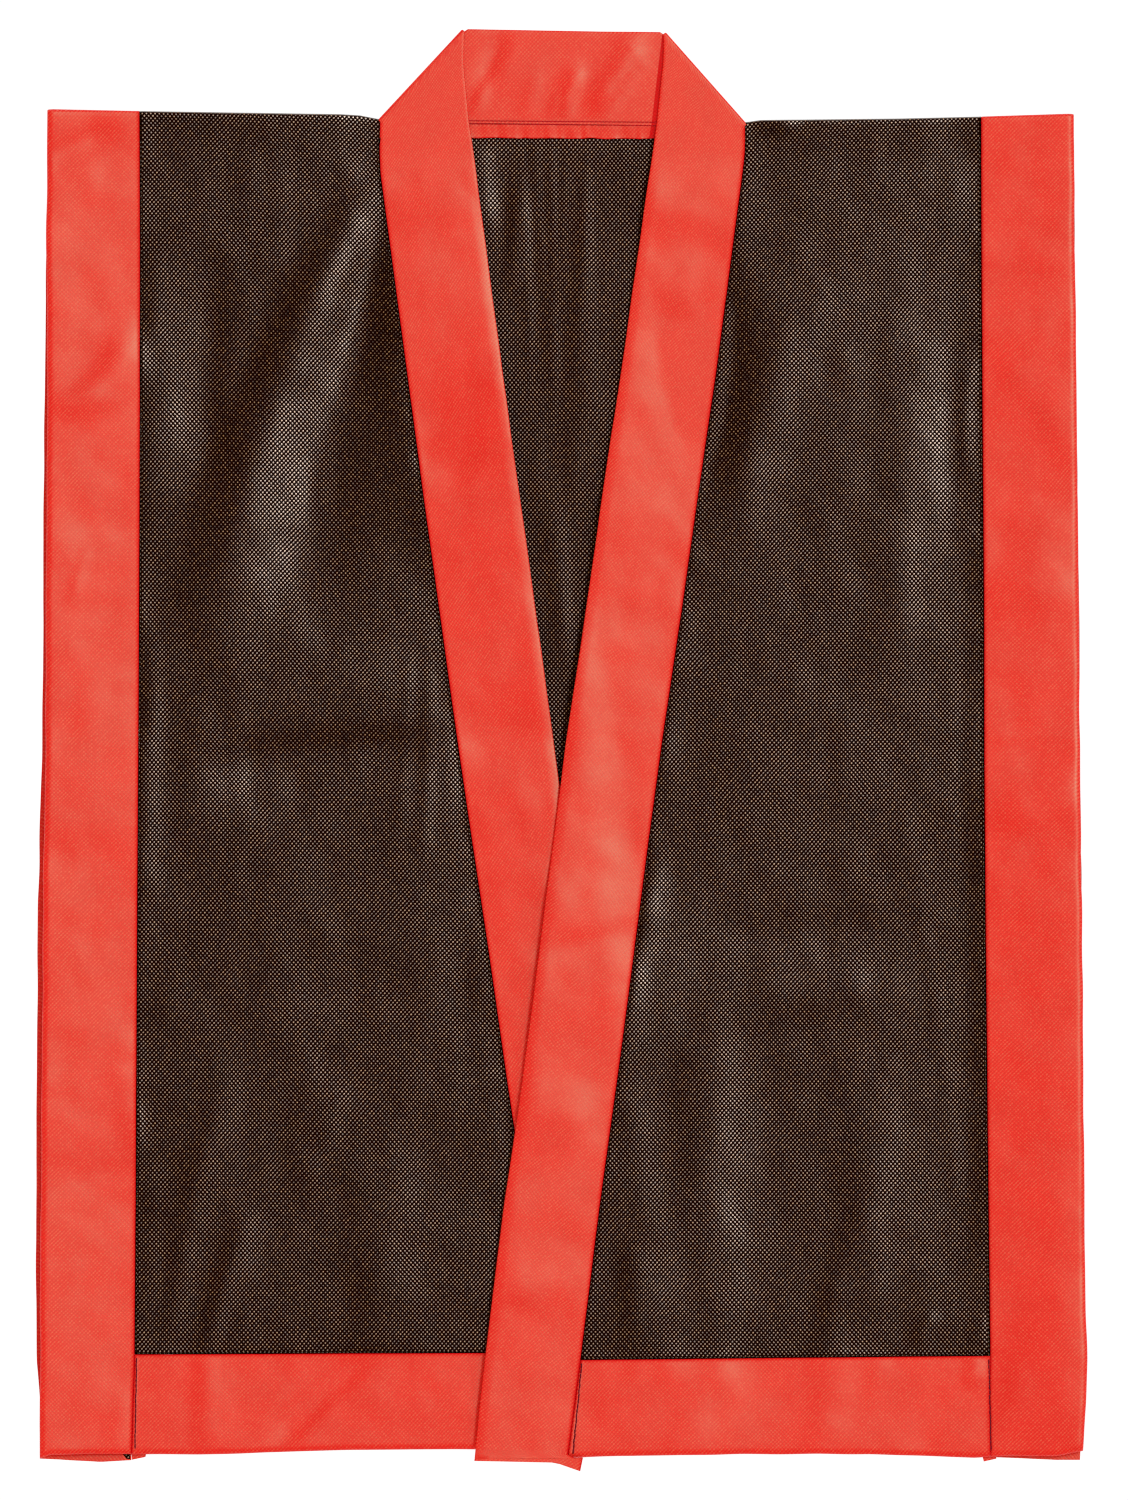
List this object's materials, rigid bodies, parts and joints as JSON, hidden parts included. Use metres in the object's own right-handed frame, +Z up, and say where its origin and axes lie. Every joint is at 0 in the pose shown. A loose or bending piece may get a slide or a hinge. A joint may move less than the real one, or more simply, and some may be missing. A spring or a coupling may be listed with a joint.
{
  "type": "uchikake vest laid flat",
  "caption": "Sleeveless open-fronted uchikake festival vest in thin black nonwoven cloth with wide red borders and collar, laid flat, the wearer's left front over the right.",
  "frame": {"origin": "middle of the bounding box, on the surface that the garment lies on", "axes": "+Z up from the surface, towards the fronts; +Y from the hem to the neck; +X to the right as seen from above with the neck at the top, which is the wearer's left"},
  "size_m": [0.6044, 0.8292, 0.0077],
  "materials": {
    "black_nonwoven": "matte, embossed with fine dots",
    "red_nonwoven": "matte, embossed with fine dots"
  },
  "bodies": {
    "root": {"body_back": "black_nonwoven", "body_front_left": "black_nonwoven", "body_front_right": "black_nonwoven", "collar_back": "red_nonwoven", "collar_front_left": "red_nonwoven", "collar_front_right": "red_nonwoven", "hem_band_back": "red_nonwoven", "hem_band_front_left": "red_nonwoven", "hem_band_front_right": "red_nonwoven", "side_band_left": "red_nonwoven", "side_band_right": "red_nonwoven"}
  },
  "joints": []
}
